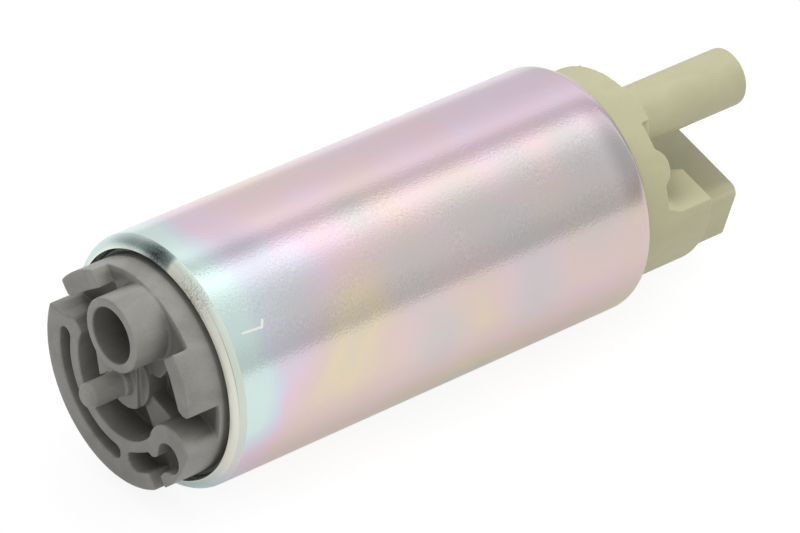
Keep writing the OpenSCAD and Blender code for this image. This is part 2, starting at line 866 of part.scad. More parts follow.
// What is cut away above the cap's faces, between the blocks
module above_faces() {
    difference() {
        slab(low_z, block_z + 1) square(through, center = true);
        slab(low_z - 1, high_z) rotate(step_angle)
            translate([step_offset, -through / 2]) square(through);
        at_connector() {
            slab(low_z - 1, block_z + 2) side_blocks();
            block_root();
        }
        rim_lug();
    }
}

// The outlet nipple, with a chamfer at its tip
module nipple_blank() {
    tip_chamfer = 0.4;
    rotate_extrude() polygon([
        [0, low_z - 1], [nipple_r, low_z - 1],
        [nipple_r, tip_z - tip_chamfer], [nipple_r - tip_chamfer, tip_z], [0, tip_z]]);
}

// The fillet round the nipple's root, kept within the cap's rim
module nipple_fillet() {
    intersection() {
        rod(nose_r, low_z - 1, tip_z);
        at_nipple() rotate_extrude() polygon([
            [0, low_z - 1], [nipple_r + nipple_root, low_z - 1],
            [nipple_r + nipple_root, high_z + nipple_root / 4],
            [nipple_r - nipple_root, high_z + nipple_root * 7 / 4],
            [0, high_z + nipple_root * 7 / 4]]);
    }
}

// Half-round lug that lies along a radius at the cap's rim
module rim_lug() {
    lug_len = 3.2;
    crown = 1.55;
    rotate([0, 0, lug_angle]) translate([nose_r - lug_len, 0, low_z + crown - lug_r])
        rotate([0, 90, 0]) cylinder(r = lug_r, h = 2 * lug_len);
}

module outlet_cap() {
    color([0.76, 0.74, 0.59]) lie() difference() {
        union() {
            difference() {
                cap_blank();
                above_faces();
            }
            at_connector() slab(low_z - 1, shroud_z) shroud_outline(0, 1.6, 0.4);
            at_nipple() nipple_blank();
            nipple_fillet();
        }
        // Fuel passage and check valve chamber
        at_nipple() {
            rod(passage_r, cap_z - 1, seat_z + 1);
            rod(chamber_r, seat_z, tip_z + 1);
        }
        // Relief port and chamber
        at_relief() {
            rod(relief_port_r, cap_z - 1, relief_seat + 1);
            rod(relief_r, relief_seat, high_z + 1);
        }
        // Connector cavity
        at_connector() slab(shroud_z - cavity_depth, shroud_z + 1)
            shroud_outline(shroud_wall, 0.7, 0.3);
        for (side = [0, 1]) {
            terminal_shape(side);
            at_brush(side) {
                slab(cap_z - 1, pocket_z) brush_outline(slide_gap);
                rod(spring_r + spring_wire, cap_z, foot_z);
            }
        }
        // Room for the shaft's end
        rod(shaft_r + end_room, cap_z - 1, cap_z + 1);
    }
}

module cap_seal() {
    color([0.10, 0.10, 0.11]) lie() translate([0, 0, cap_z + cap_flange / 2])
        rotate_extrude() translate([seated_r - seal_t / 2, 0]) circle(d = seal_t);
}

module at_nipple() {
    translate(polar(nipple_offset, nipple_angle)) children();
}

module check_valve() {
    nose_h = 1.4;
    nose_tip = 0.9;
    gap = 0.1;
    color([0.20, 0.34, 0.30]) lie() at_nipple() {
        translate([0, 0, seat_z - nose_h])
            cylinder(r1 = nose_tip, r2 = passage_r - gap, h = nose_h + tiny);
        rod(poppet_r, seat_z + tiny, seat_z + poppet_head);
        rod(stem_r, seat_z + poppet_head - tiny, cage_z + cage_t - 0.5);
    }
}

module check_spring() {
    wire = 0.4;
    turns = 5;
    bottom = seat_z + poppet_head + seat_gap;
    color([0.78, 0.76, 0.70]) lie() at_nipple() translate([0, 0, bottom + wire / 2])
        coil_spring(wire / 2, stem_r + 0.9, turns, cage_z - seat_gap - bottom - wire);
}

// Cage pressed into the nipple: a rim, a guide for the stem and three spokes
module check_retainer() {
    rim_w = 0.6;
    guide_w = 0.7;
    spoke_w = 0.8;
    guide_r = stem_r + 0.1;
    color([0.82, 0.80, 0.70]) lie() at_nipple() slab(cage_z, cage_z + cage_t) difference() {
        union() {
            difference() {
                circle(r = chamber_r - tiny);
                circle(r = chamber_r - rim_w);
            }
            circle(r = guide_r + guide_w);
            for (i = [0:2]) rotate(120 * i)
                translate([0, -spoke_w / 2]) square([chamber_r - rim_w / 2, spoke_w]);
        }
        circle(r = guide_r);
    }
}

module at_relief() {
    translate(polar(relief_offset, relief_angle)) children();
}

module relief_ball() {
    color([0.75, 0.76, 0.78]) lie() at_relief()
        translate([0, 0, ball_z]) sphere(r = relief_ball_r);
}

plug_z = high_z - plug_t;

module relief_spring() {
    wire = 0.36;
    turns = 5;
    coil_r = relief_ball_r * 0.72;
    // The end coil rests on the ball where the ball is as wide as the coil
    bottom = ball_z + sqrt(pow(relief_ball_r + wire / 2, 2) - pow(coil_r, 2)) + seat_gap;
    color([0.78, 0.76, 0.70]) lie() at_relief() translate([0, 0, bottom])
        coil_spring(wire / 2, coil_r, turns, plug_z - seat_gap - wire / 2 - bottom);
}

module relief_plug() {
    color([0.76, 0.77, 0.79]) lie() at_relief()
        sleeve(relief_r - tiny, 0.6, plug_z, plug_z + plug_t);
}

can();
inlet_cover();
pump_casing();
impeller();
shaft();
thrust_ball();
sleeve_bearing(recess_z + washer_t);  // lower_bearing
sleeve_bearing(holder_z + 0.6);  // upper_bearing
armature_core();
end_insulator(core_z - insulator_t);  // front_insulator
end_insulator(core_top);  // rear_insulator
windings();
commutator_hub();
commutator_segments();
magnet(90);  // magnet_upper
magnet(270);  // magnet_lower
magnet_clip(0);  // magnet_clip_a
magnet_clip(180);  // magnet_clip_b
brush_holder();
brush(0);  // brush_a
brush(1);  // brush_b
brush_spring(0);  // brush_spring_a
brush_spring(1);  // brush_spring_b
brush_lead(0);  // brush_lead_a
brush_lead(1);  // brush_lead_b
terminal(0);  // terminal_a
terminal(1);  // terminal_b
outlet_cap();
cap_seal();
check_valve();
check_spring();
check_retainer();
relief_ball();
relief_spring();
relief_plug();
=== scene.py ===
# %% [markdown]
# # An in-tank electric fuel pump
# The pump is a plated steel can with a grey moulded cover at its inlet end and a beige moulded
# cap at its outlet end. The imported model brings every piece at its real size and place, so this
# script only adds what makes the pieces look real: softened edges, finishes, springs and leads
# with round wire, light and a camera.

# %% Load the imported pump
import json

import bmesh
import bpy
import numpy as np
from mathutils import Matrix, Vector


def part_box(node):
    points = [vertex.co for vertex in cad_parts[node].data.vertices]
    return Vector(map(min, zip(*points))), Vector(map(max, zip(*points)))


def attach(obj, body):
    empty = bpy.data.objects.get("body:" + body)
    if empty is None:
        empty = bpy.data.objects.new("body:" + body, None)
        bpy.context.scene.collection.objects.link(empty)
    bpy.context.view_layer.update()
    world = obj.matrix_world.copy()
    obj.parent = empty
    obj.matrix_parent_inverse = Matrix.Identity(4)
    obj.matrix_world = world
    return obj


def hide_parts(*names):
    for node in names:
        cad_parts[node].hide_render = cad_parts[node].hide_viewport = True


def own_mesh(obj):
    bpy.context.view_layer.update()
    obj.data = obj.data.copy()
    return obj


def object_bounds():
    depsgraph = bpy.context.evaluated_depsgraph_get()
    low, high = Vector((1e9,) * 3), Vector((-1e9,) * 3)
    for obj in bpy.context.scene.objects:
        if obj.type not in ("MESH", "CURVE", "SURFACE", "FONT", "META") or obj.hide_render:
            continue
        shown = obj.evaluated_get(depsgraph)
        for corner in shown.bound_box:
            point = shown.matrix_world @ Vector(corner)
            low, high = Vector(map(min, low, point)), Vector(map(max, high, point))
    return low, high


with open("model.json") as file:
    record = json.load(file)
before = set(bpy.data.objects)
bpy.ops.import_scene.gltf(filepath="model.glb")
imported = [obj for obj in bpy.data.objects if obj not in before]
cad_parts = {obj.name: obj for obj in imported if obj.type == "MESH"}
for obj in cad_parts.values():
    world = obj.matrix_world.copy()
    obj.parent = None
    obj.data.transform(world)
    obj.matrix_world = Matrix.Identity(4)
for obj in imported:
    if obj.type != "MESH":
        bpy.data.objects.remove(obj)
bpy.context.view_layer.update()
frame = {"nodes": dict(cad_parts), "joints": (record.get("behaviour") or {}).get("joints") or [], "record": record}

MM = 0.001
print("CAD nodes:", len(frame["nodes"]))

# %% [markdown]
# ## The camera
# A real lens draws straight lines straight, so three things fix a view: where the camera stands,
# which way it looks and how long its lens is. A camera could be aimed with a Track To constraint,
# but that needs a target and a solved scene. Here its axes are built from the looking direction
# alone, which keeps the picture upright without any roll.

# %% Camera
CAMERA_PLACE = Vector((-0.44807, -0.54465, 0.42836))
LOOKING = Vector((0.5478, 0.6567, -0.5181)).normalized()
LENS_MM = 259.24
SENSOR_MM = 36


def place_camera():
    """The camera's three axes are the look, the level line to its right and their cross."""
    right = LOOKING.cross(Vector((0, 0, 1))).normalized()
    up = right.cross(LOOKING)
    camera = bpy.data.objects.new("camera", bpy.data.cameras.new("camera"))
    camera.data.lens = LENS_MM
    camera.data.sensor_width = SENSOR_MM
    turn = Matrix((right, up, -LOOKING)).transposed().to_4x4()
    camera.matrix_world = Matrix.Translation(CAMERA_PLACE) @ turn
    bpy.context.scene.collection.objects.link(camera)
    bpy.context.scene.camera = camera
    print("camera:", round(CAMERA_PLACE.length, 3), "m from the middle of the can")


place_camera()

# %% [markdown]
# ## Shader maths as plain expressions
# A material is a graph of nodes, and a long graph is hard to read. A small class that wraps one
# socket lets Python's own operators add the Math nodes, so a mask can be written as 1 - edge.

# %% Wires
class Wire:
    """An output socket. Arithmetic on it adds Math nodes and returns their output."""

    def __init__(self, tree, socket):
        self.tree = tree
        self.socket = socket

    def math(self, operation, *values):
        settings = {"operation": operation}
        return self.tree.add("ShaderNodeMath", settings, dict(enumerate(values)))

    def __add__(self, other):
        return self.math("ADD", self, other)

    def __sub__(self, other):
        return self.math("SUBTRACT", self, other)

    def __mul__(self, other):
        return self.math("MULTIPLY", self, other)

    def __rsub__(self, other):
        return self.math("SUBTRACT", other, self)

    __radd__ = __add__
    __rmul__ = __mul__

    def __abs__(self):
        return self.math("ABSOLUTE", self)

    def root(self):
        return self.math("SQRT", self)

    def sine(self):
        return self.math("SINE", self)

    def above(self, low, high):
        """0 below low, 1 above high, with a smooth step between."""
        inputs = {"Value": self, "From Min": low, "From Max": high}
        return self.tree.add("ShaderNodeMapRange", {"interpolation_type": "SMOOTHSTEP"}, inputs)


# %% [markdown]
# ## Every other node by one method
# Noise, ramps and colour mixes can't be written as sums. One method adds any node from its type,
# its settings and what its sockets get, so a material still reads from top to bottom.

# %% Trees
class Tree:
    """A node tree that new nodes are added to by one method."""

    def __init__(self, nodes, links):
        self.nodes = nodes
        self.links = links

    def add(self, kind, settings=None, inputs=None, output=0):
        node = self.nodes.new(kind)
        for name, value in (settings or {}).items():
            if name == "stops":
                self.set_stops(node.color_ramp, value)
            else:
                setattr(node, name, value)
        for key, value in (inputs or {}).items():
            self.feed(node.inputs[key], value)
        return Wire(self, node.outputs[output])

    def feed(self, socket, value):
        if isinstance(value, Wire):
            self.links.new(value.socket, socket)
        else:
            socket.default_value = value

    def set_stops(self, ramp, stops):
        while len(ramp.elements) < len(stops):
            ramp.elements.new(1)
        for element, (place, colour) in zip(ramp.elements, stops):
            element.position = place
            element.color = (*colour, 1)

    def mix(self, factor, first, second):
        """A colour between two colours. The Mix node's colour sockets are 6, 7 and output 2."""
        inputs = {0: factor, 6: self.opaque(first), 7: self.opaque(second)}
        return self.add("ShaderNodeMix", {"data_type": "RGBA"}, inputs, 2)

    def scaled(self, colour, times):
        """A colour made brighter or darker by a number."""
        inputs = {0: colour, "Scale": times}
        return self.add("ShaderNodeVectorMath", {"operation": "SCALE"}, inputs)

    def opaque(self, colour):
        return colour if isinstance(colour, Wire) else (*colour, 1)


# %% [markdown]
# ## One class for every finish
# All finishes start the same way: a Principled shader whose even values are set on its own
# sockets, and a pattern laid over the piece by its Object coordinates, in metres. Grain is noise
# of a stated size, so a finish can be written with the real size of its pores or brush marks.

# %% Finish
class Finish(Tree):
    """A material with its shader. What varies over the surface feeds colour, roughness or bump."""

    made = {}

    def __init__(self, name, **even_values):
        self.material = bpy.data.materials.new(name)
        self.material.use_nodes = True
        super().__init__(self.material.node_tree.nodes, self.material.node_tree.links)
        self.nodes.clear()
        self.shader = self.nodes.new("ShaderNodeBsdfPrincipled")
        output = self.nodes.new("ShaderNodeOutputMaterial")
        self.links.new(self.shader.outputs[0], output.inputs["Surface"])
        for label, value in even_values.items():
            self.shader.inputs[label.replace("_", " ")].default_value = value
        self.place = self.add("ShaderNodeTexCoord", output="Object")
        Finish.made[name] = self

    def grain(self, size, detail=2.0, stretch=(1, 1, 1), shift=(0, 0, 0), uneven=0.0,
              place=None, output=0):
        """Noise between 0 and 1 whose blobs are about size metres across, or longer where
        stretch is over 1. shift slides the pattern and uneven bends it."""
        scale = tuple(1 / (size * s) for s in stretch)
        placed = self.add("ShaderNodeMapping", None, {"Vector": place or self.place,
                                                      "Scale": scale, "Location": shift})
        inputs = {"Vector": placed, "Scale": 1.0, "Detail": detail, "Distortion": uneven}
        return self.add("ShaderNodeTexNoise", None, inputs, output)

    def near(self, point, radius, place=None):
        """1 at a point of the piece, falling smoothly to 0 at radius metres from it."""
        inputs = {0: place or self.place, 1: point}
        away = self.add("ShaderNodeVectorMath", {"operation": "DISTANCE"}, inputs, "Value")
        return 1 - away.above(0, radius)

    def along(self, start, stop, width):
        """1 on the straight line between two points, falling to 0 at width metres from it."""
        line = Vector(stop) - Vector(start)
        offset = self.add("ShaderNodeVectorMath", {"operation": "SUBTRACT"},
                          {0: self.place, 1: start})
        share = self.add("ShaderNodeVectorMath", {"operation": "DOT_PRODUCT"},
                         {0: offset, 1: tuple(line / line.length_squared)}, "Value")
        held = share.math("MINIMUM", share.math("MAXIMUM", share, 0), 1)
        nearest = self.add("ShaderNodeVectorMath", {"operation": "MULTIPLY_ADD"},
                           {0: held, 1: tuple(line), 2: start})
        away = self.add("ShaderNodeVectorMath", {"operation": "DISTANCE"},
                        {0: self.place, 1: nearest}, "Value")
        return 1 - away.above(0, width)

    def axes(self):
        """The place on the piece as three numbers."""
        return [self.add("ShaderNodeSeparateXYZ", None, {0: self.place}, i) for i in range(3)]

    def corners(self, radius):
        """Two masks: near any corner, and where the surface is hollow 0 or bulges 1. Near a
        corner the normal averaged over a small radius turns away from the surface's own."""
        average = self.add("ShaderNodeBevel", {"samples": 6}, {"Radius": radius})
        normal = self.add("ShaderNodeNewGeometry", output="Normal")
        along = self.add("ShaderNodeVectorMath", {"operation": "DOT_PRODUCT"},
                         {0: average, 1: normal}, "Value")
        bulge = self.add("ShaderNodeNewGeometry", output="Pointiness")
        return (1 - along).above(0.01, 0.12), bulge.above(0.497, 0.505)

    def colour(self, value):
        self.feed(self.shader.inputs["Base Color"], self.opaque(value))

    def roughness(self, value):
        self.feed(self.shader.inputs["Roughness"], value)

    def relief(self, height, depth):
        """Bump whose height, from 0 to 1, stands for depth metres."""
        bump = self.add("ShaderNodeBump", None, {"Height": height, "Distance": depth}, "Normal")
        self.feed(self.shader.inputs["Normal"], bump)


# %% [markdown]
# ## The plated can's film
# Zinc plate that has been passivated has a film only as thick as light waves are long, so it
# shows weak interference colours. As the film grows they run from green-blue through lilac, pink
# and peach to yellow and a greenish grey, which is the order of this ramp. A slow noise stands
# for the film, and a few soft patches make it thin at the near end and thick where the can was
# held. Each patch has its place along the can in mm, its angle round the can, its radius in mm
# and what it adds to the film. Dull patches have no more than a place and a radius: there the
# plate has greyed. A painted picture could hold all this, but a formula has no seam and no
# pixels, and is as sharp from close by as from afar.

# %% Film colours and patches
FILM_STOPS = [
    (0.00, (0.64, 0.78, 0.75)),
    (0.13, (0.63, 0.71, 0.76)),
    (0.27, (0.67, 0.655, 0.75)),
    (0.42, (0.74, 0.59, 0.70)),
    (0.56, (0.76, 0.59, 0.62)),
    (0.70, (0.74, 0.60, 0.55)),
    (0.84, (0.76, 0.65, 0.48)),
    (1.00, (0.62, 0.61, 0.57)),
]
FILM_PATCHES = [
    (-27, 130, 14, -0.26), (-31, 156, 11, -0.32), (-32, 178, 9, -0.28), (-17, 178, 12, 0.16),
    (-14, 146, 12, 0.26), (-37, 207, 8, 0.45), (-3, 130, 10, 0.24), (8, 127, 9, 0.22),
    (24, 130, 15, 0.16), (4, 180, 9, 0.06), (-16, 62, 16, 0.26), (-3, 98, 11, 0.16),
    (26, 96, 20, -0.08), (15, 168, 9, -0.16), (26, 230, 18, -0.2), (-10, 262, 20, 0.25),
    (12, 310, 18, -0.3), (-24, 350, 16, 0.3), (22, 20, 17, 0.25),
]
DULL_PATCHES = [(-25, 145, 10), (-9, 116, 6), (-5, 150, 10), (8, 138, 12), (16, 153, 9),
                (28, 150, 12), (19, 124, 6), (29, 124, 7), (-2, 184, 8), (16, 182, 8), (38, 70, 7),
                (37, 134, 9)]
DULL_ZINC = (0.60, 0.595, 0.59)
CREAM_ZINC = (1.0, 0.98, 0.87)
PALE_ZINC = (0.84, 0.90, 0.78)
BARE_ZINC = (0.95, 0.95, 0.88)
BROWN = (0.34, 0.29, 0.24)
# Dark of the painted reflection on the roll and of the specks
DARK_SPECKS_AND_REFLECTION = (0.05, 0.055, 0.065)
BLACK = (0, 0, 0)
print("film:", len(FILM_PATCHES), "patches and", len(DULL_PATCHES), "dull ones")

# %% The film's colour
# The film from 0 to 1 on the can's side, and what it loses or gains elsewhere
FILM_SIDE = 0.66
LESS_ABOVE = 0.22
MORE_BELOW = 0.28
LESS_AT_THE_END = 0.62
# How grey one dull patch is, and the most that they come to together
DULL = 0.75
DULLEST = 0.8
# How far the patches' outlines are bent
BEND = 4 * MM


def on_can(x, angle, radius=19.0):
    """A point on the can from its place along it in mm and its angle in degrees."""
    turn = np.radians(angle)
    return tuple(np.array([x, radius * np.cos(turn), radius * np.sin(turn)]) * MM)


def film_colour(finish, small):
    """The ramp read by the film: even on the can's side, thinner above and thicker below, and
    next to nothing at the near end."""
    x, y, z = finish.axes()
    near_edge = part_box("can")[0].x
    slow = finish.grain(16 * MM, 1.5, (1.3, 1.1, 1.1), (3.1, 0.4, 1.7), 0.4)
    bends = finish.grain(7 * MM, 1.0, output="Color")
    wavy = finish.add("ShaderNodeVectorMath", {"operation": "MULTIPLY_ADD"},
                      {0: bends, 1: (BEND,) * 3, 2: finish.place})
    film = FILM_SIDE - LESS_ABOVE * z.above(7 * MM, 16 * MM)
    film = film + (slow - 0.5) * 0.4 + (small - 0.5) * 0.2
    film = film + MORE_BELOW * (1 - z.above(-13 * MM, -4 * MM)) * x.above(-14 * MM, 4 * MM)
    end = 1 - x.above(near_edge + 1.2 * MM, near_edge + 9.5 * MM)
    film = film - LESS_AT_THE_END * end
    for along, angle, radius, more in FILM_PATCHES:
        middle = tuple(c + BEND / 2 for c in on_can(along, angle))
        film = film + more * finish.near(middle, radius * MM, wavy)
    veil = 0
    for along, angle, radius in DULL_PATCHES:
        veil = veil + DULL * finish.near(on_can(along, angle), radius * MM)
    tint = finish.add("ShaderNodeValToRGB", {"stops": FILM_STOPS}, {0: film})
    return finish.mix(veil.math("MINIMUM", veil, DULLEST), tint, DULL_ZINC)


# %% [markdown]
# ## The rolled end and the grain
# Where the near end was rolled in, the tool rubbed the film away on one side: cream metal with
# fine rings next to the opening, a thin brown groove, then a pale green border. Where the rubbing
# starts, two spots on the roll are darkened as a painted dark reflection, and real specks lie in
# the rubbed part. The roll's edge beyond the rubbed side is lightened as a painted highlight.
# Rings come from noise that is read by the place along the axis and the distance from it, so it
# can't change round the can. The steel itself was drawn and rolled, which leaves short strokes
# round the can, clearest on its worn upper side. A small nick has cut through to bare zinc, and
# the far end greys before its roll, with a brown line at the lip.

# %% Marks on the can
# How far in from the near end's edge each mark reaches. A pair is where it starts and stops to
# fade.
ROLL_END = (1.66 * MM, 1.84 * MM)
CREAM_END = (0.66 * MM, 0.76 * MM)
# The roll's edge, away from the rubbed side, is lightened this far in as a painted highlight
LIP_HIGHLIGHT_END = (0.06 * MM, 0.14 * MM)
GROOVE_IN = 0.74 * MM
GROOVE_WIDTH = 0.09 * MM
# The rubbed side of the near end and the worn strip along the top, in Y and in Z
RUBBED_Y = (-4.3 * MM, -3.3 * MM)
RUBBED_Z = (-15 * MM, -6 * MM)
WORN_Y = (-8.5 * MM, -5.5 * MM)
WORN_Z = (4 * MM, 9 * MM)
# Along the can: where it greys, and where the brown line is
GREYING = (-30 * MM, 36 * MM)
FAR_GREY = (32.5 * MM, 36 * MM)
BROWN_LINE = (38.35 * MM, 38.60 * MM)
# The nick's two strokes: start and stop as a place in mm and an angle, and its width
NICK = [((-34.7, 144.5), (-31.5, 145.2), 0.27 * MM), ((-31.5, 145.2), (-31.0, 142.6), 0.32 * MM)]


def roll_marks(finish, inward):
    """Four masks of the near end: the roll, its rubbed side, the lip's painted highlight, and the
    darkening: a painted dark reflection near the top of the roll and real specks in the rubbed part.
    """
    x, y, z = finish.axes()
    specks = finish.grain(0.22 * MM, 3.0, (1.0, 1.3, 1.3))
    rolled = 1 - inward.above(*ROLL_END)
    rubbed_side = (1 - y.above(*RUBBED_Y)) * z.above(*RUBBED_Z)
    rubbed = rolled * rubbed_side
    lip_highlight = rolled * (1 - rubbed_side) * (1 - inward.above(*LIP_HIGHLIGHT_END))
    # Two spots near the top of the roll, darkened as a painted dark reflection
    dark_reflection = finish.near(on_can(-38.3, 94, 18.3), 5.0 * MM) * rolled
    dark_reflection = dark_reflection + 0.35 * finish.near(on_can(-38.3, 76, 18.0), 6.5 * MM) * rolled
    speckle = finish.near(on_can(-38.6, 121, 17.8), 5.5 * MM) * rubbed
    darkening = dark_reflection * (1 - rubbed) * (0.4 + 0.9 * specks)
    darkening = darkening + speckle * specks.above(0.40, 0.66) * 0.5
    return rolled, rubbed, lip_highlight, darkening


def worn(finish, colour, strokes):
    """The film's colour greyed by wear, broken up by the strokes, and cut by the nick."""
    x, y, z = finish.axes()
    strip = (1 - y.above(*WORN_Y)) * z.above(*WORN_Z)
    grey = 0.10 * x.above(*GREYING) + 0.22 * strip * x.above(*FAR_GREY)
    grey = grey + 0.14 * finish.near(on_can(-28, 109), 7 * MM)
    colour = finish.mix(grey, colour, BLACK)
    patchy = finish.grain(5 * MM, 1.0, (1.6, 1, 1), (0.7, 3.3, 1.9)).above(0.40, 0.62)
    colour = finish.scaled(colour, 1 + (strokes - 0.5) * (0.08 + 0.34 * strip * patchy))
    colour = finish.mix(0.6 * x.above(*BROWN_LINE), colour, BROWN)
    nick = sum(finish.along(on_can(*start), on_can(*stop), width) for start, stop, width in NICK)
    return finish.mix(nick.above(0.05, 0.6), colour, BARE_ZINC)


# %% [markdown]
# ## The can's metal
# The real can is bright zinc under its film, smoother than the steel below it. A glossy paint
# could look like it head on, but only a metal takes its colour into its reflections. So the film
# is the metal's own colour, and the rubbed part, where dull zinc shows, is less of a metal.

# %% Plated steel
def make_plated_steel():
    finish = Finish("plated_steel", Metallic=1.0)
    x, y, z = finish.axes()
    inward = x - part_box("can")[0].x
    radius = (y * y + z * z).root()
    small = finish.grain(5 * MM, 2.0, (1.0, 1.4, 1.4), (1.3, 2.2, 0.2), 0.8)
    strokes = finish.grain(0.21 * MM, 2.0, (0.8, 2.2, 2.2))
    pebbles = finish.grain(0.35 * MM, 2.0)
    ring_place = finish.add("ShaderNodeCombineXYZ", None, {0: x, 1: radius, 2: 0.04 * y})
    rings = finish.grain(0.11 * MM, 3.0, place=ring_place)
    rolled, rubbed, lip_highlight, darkening = roll_marks(finish, inward)
    beside = 1 - inward.above(*CREAM_END)
    groove = 1 - abs(inward - GROOVE_IN).above(0, GROOVE_WIDTH)

    colour = worn(finish, film_colour(finish, small), strokes)
    # Pale zinc on the rubbed side, and on the lip a painted highlight
    colour = finish.mix(rubbed * (0.55 + 0.35 * small) + 0.7 * lip_highlight, colour, PALE_ZINC)
    colour = finish.mix(rubbed * beside * (0.55 + 0.6 * rings), colour, CREAM_ZINC)
    colour = finish.mix(groove * finish.near(on_can(-38, 155), 11 * MM) * 0.7, colour, BROWN)
    # Darkened by the painted dark reflection on the roll and by the real specks
    finish.colour(finish.mix(darkening, colour, DARK_SPECKS_AND_REFLECTION))
    finish.feed(finish.shader.inputs["Metallic"], 1 - 0.6 * rubbed)
    finish.roughness(0.15 + 0.06 * strokes + rolled * 0.10 + rubbed * 0.22 * rings)
    finish.relief(pebbles + rolled * rings * 0.7, 0.022 * MM)
    print("plated steel:", len(finish.nodes), "nodes")


make_plated_steel()

# %% [markdown]
# ## The mouldings' finish
# Both mouldings are satin resins filled with glass or mineral. Up close the surface is neither
# even in colour nor quite smooth: flow marks a few millimetres across, fine pores, and outer edges
# that are paler, partly where flash was rubbed off and partly as a painted highlight. Inner
# corners are darkened as painted shade. The edges could be found by Pointiness alone, but that
# follows the mesh's triangles and draws false lines, so a Bevel node finds the corners and
# Pointiness only tells the outer ones from the inner ones. One function makes all the resins.

# %% Resins
PORE = 0.16 * MM
CORNER = 0.3 * MM


def make_resin(name, colour, pale, rough, edge=0.35, darkening=None):
    """A satin resin. pale is its rubbed tone, seen in faint flow marks and on the outer edges, where
    it is also a painted highlight. The function passed in, given the finish, tells how far it goes
    towards black, as painted shade."""
    finish = Finish(name, Specular_IOR_Level=0.5)
    flow = finish.grain(5 * MM, 3.0, (1.6, 1, 1), (0.3, 2.1, 0.9), 0.8)
    pores = finish.grain(PORE, 2.0)
    corner, outer = finish.corners(CORNER)
    uneven = (flow - 0.5) * 0.9 + (pores - 0.5) * 0.5 + 0.15
    # Outer edges paler: partly rubbed flash, partly a painted highlight
    body = finish.mix(corner * outer * edge + uneven, colour, pale)
    # Inner corners darkened as painted shade, plus the painted shade from the function passed in
    black = corner * (1 - outer) * 0.3
    if darkening:
        black = black + darkening(finish)
    finish.colour(finish.mix(black, body, BLACK))
    finish.roughness(rough + 0.12 * flow)
    finish.relief(pores + flow * 0.8, 0.012 * MM)
    print(name, "finish:", len(finish.nodes), "nodes")


# %% [markdown]
# ## Painted shade on the mouldings
# Little light reaches the cover's pockets, the inlet tube, the gap beside the can's lip and the
# cap's faces under the nipple, so they are darkened there as painted shade. Ambient occlusion
# could find such places, but it costs many rays and finds every groove alike. Each place here is
# a slab or a tube in space, read from the Object coordinates, so it can be put exactly where it
# belongs.

# %% Painted shade
# Where the inlet tube's axis runs, and the tube's inner radius
TUBE_Y = -3.170 * MM
TUBE_Z = 10.115 * MM
TUBE_R = 4.17 * MM
# From the crescent's face down to the cover's floor, along X
POCKET_DEPTH = (-46.0 * MM, -39.5 * MM)
# The direction square to the connector's broad face
FACE_Y, FACE_Z = -0.317, 0.948
SHROUD_HEIGHT = -2.3 * MM
BLOCK_HEIGHT = 5.4 * MM
SLAB = (0.3 * MM, 0.6 * MM)
# How dark the painted shade under the nipple is
UNDER_NIPPLE_SHADE = 0.42


def painted_recess_shade(finish):
    """Painted shade in the cover's pockets: none at the crescent's face, most on the floor, and
    only within the rim, with more painted shade in the gap beside the can's lip. The inlet tube is
    darkened inside from its mouth on, also as painted shade."""
    x, y, z = finish.axes()
    inside = 1 - (y * y + z * z).root().above(15.0 * MM, 16.0 * MM)
    beside_lip = (1 - inside) * x.above(-39.2 * MM, -38.7 * MM)
    across, up = y - TUBE_Y, z - TUBE_Z
    from_tube = (across * across + up * up).root()
    deep = x.above(*POCKET_DEPTH)
    bore = 1 - from_tube.above(TUBE_R + 0.05 * MM, TUBE_R + 0.25 * MM)
    bore = bore * x.above(-50.5 * MM, -49.0 * MM) * (1 - deep)
    # Painted shade in the pockets, in the gap beside the can's lip and in the inlet tube's bore
    return 0.62 * inside * deep + 0.4 * beside_lip + 0.36 * bore


def painted_shade_under_nipple(finish):
    """Painted shade on the cap's two flat faces under the nipple, which shades them. Their height
    is measured square to them, from the pump's axis, and side is the distance across them."""
    x, y, z = finish.axes()
    height = FACE_Z * z + FACE_Y * y
    side = abs(FACE_Z * y - FACE_Y * z)
    # The shroud's and the block's faces under the nipple darkened as painted shade
    shroud_face = (1 - abs(height - SHROUD_HEIGHT).above(*SLAB)) * UNDER_NIPPLE_SHADE
    shroud_face = shroud_face * (1 - side.above(8.0 * MM, 11.6 * MM))
    block_face = (1 - abs(height - BLOCK_HEIGHT).above(*SLAB)) * UNDER_NIPPLE_SHADE
    block_face = block_face * (1 - x.above(45 * MM, 55 * MM))
    block_face = block_face * (1 - side.above(11.0 * MM, 15.6 * MM))
    return (shroud_face + block_face) * x.above(44.0 * MM, 44.6 * MM)


make_resin("grey_moulding", (0.290, 0.279, 0.256), (0.60, 0.58, 0.54), 0.34, 0.9,
           darkening=painted_recess_shade)
make_resin("beige_moulding", (0.60, 0.577, 0.357), (0.74, 0.715, 0.49), 0.42, 0.2,
           darkening=painted_shade_under_nipple)
make_resin("dark_moulding", (0.045, 0.043, 0.040), (0.09, 0.085, 0.08), 0.45)
make_resin("phenolic", (0.05, 0.03, 0.02), (0.10, 0.06, 0.045), 0.38)
make_resin("valve_cage", (0.55, 0.52, 0.40), (0.65, 0.62, 0.50), 0.45)

# %% [markdown]
# ## Metals inside the pump
# Few of these are seen, but each is still finished as the real one: ground shafts have rings
# round them, sintered bronze is porous, and sheet keeps the marks of its rolling. Anisotropic
# shading could draw such marks, but it is lost in an exported model, so a stretched noise does.

# %% Metals
MARK_DEPTH = 0.004 * MM


def make_metal(name, colour, dull, rough, grain_size, stretch=(1, 1, 1)):
    """A metal whose grain is one noise, stretched along its working marks."""
    finish = Finish(name, Metallic=1.0)
    marks = finish.grain(grain_size, 3.0, stretch)
    clouds = finish.grain(4 * MM, 2.0)
    finish.colour(finish.mix(clouds, colour, dull))
    finish.roughness(rough + 0.15 * marks)
    finish.relief(marks, MARK_DEPTH)


